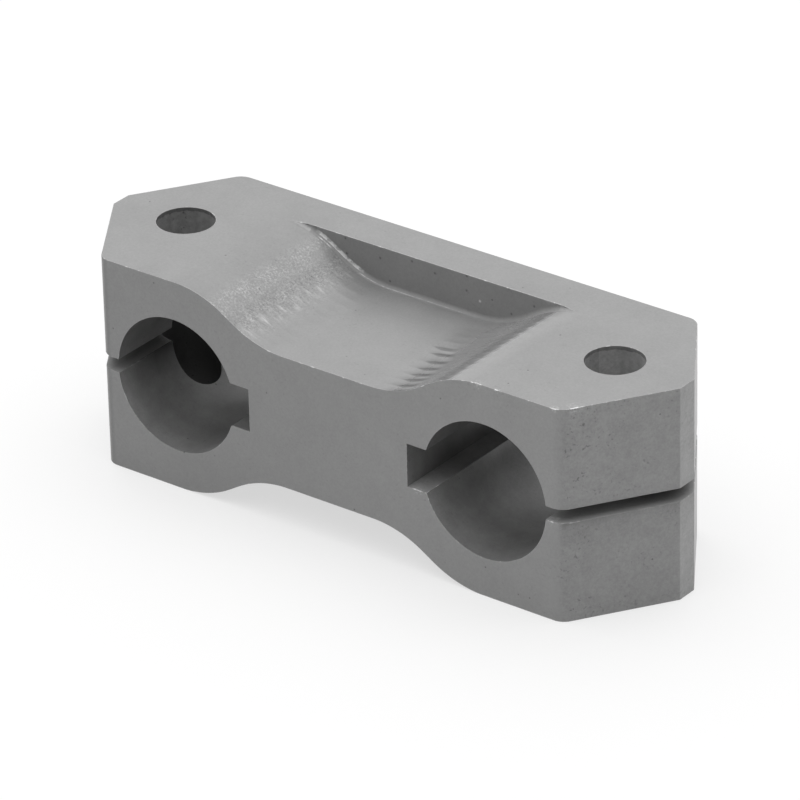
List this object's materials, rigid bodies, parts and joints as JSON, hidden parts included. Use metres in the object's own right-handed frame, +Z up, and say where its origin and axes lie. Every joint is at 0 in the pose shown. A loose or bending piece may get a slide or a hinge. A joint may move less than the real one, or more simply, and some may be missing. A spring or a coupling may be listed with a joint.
{
  "type": "rigid clamp coupling for parallel shafts",
  "caption": "One-piece clamping bar that ties parallel keyed shafts together, with split ends pinched by bolts and milled pockets in its waist.",
  "frame": {"origin": "middle of the underside, halfway between the two bores", "axes": "+X along the bar to the right, +Y along the bores from the front to the ribbed back, +Z up along the bolt holes"},
  "size_m": [0.119, 0.039, 0.0395],
  "materials": {
    "milled_steel": "fine milled, satin grey"
  },
  "bodies": {
    "root": {"coupling_body": "milled_steel"}
  },
  "joints": []
}
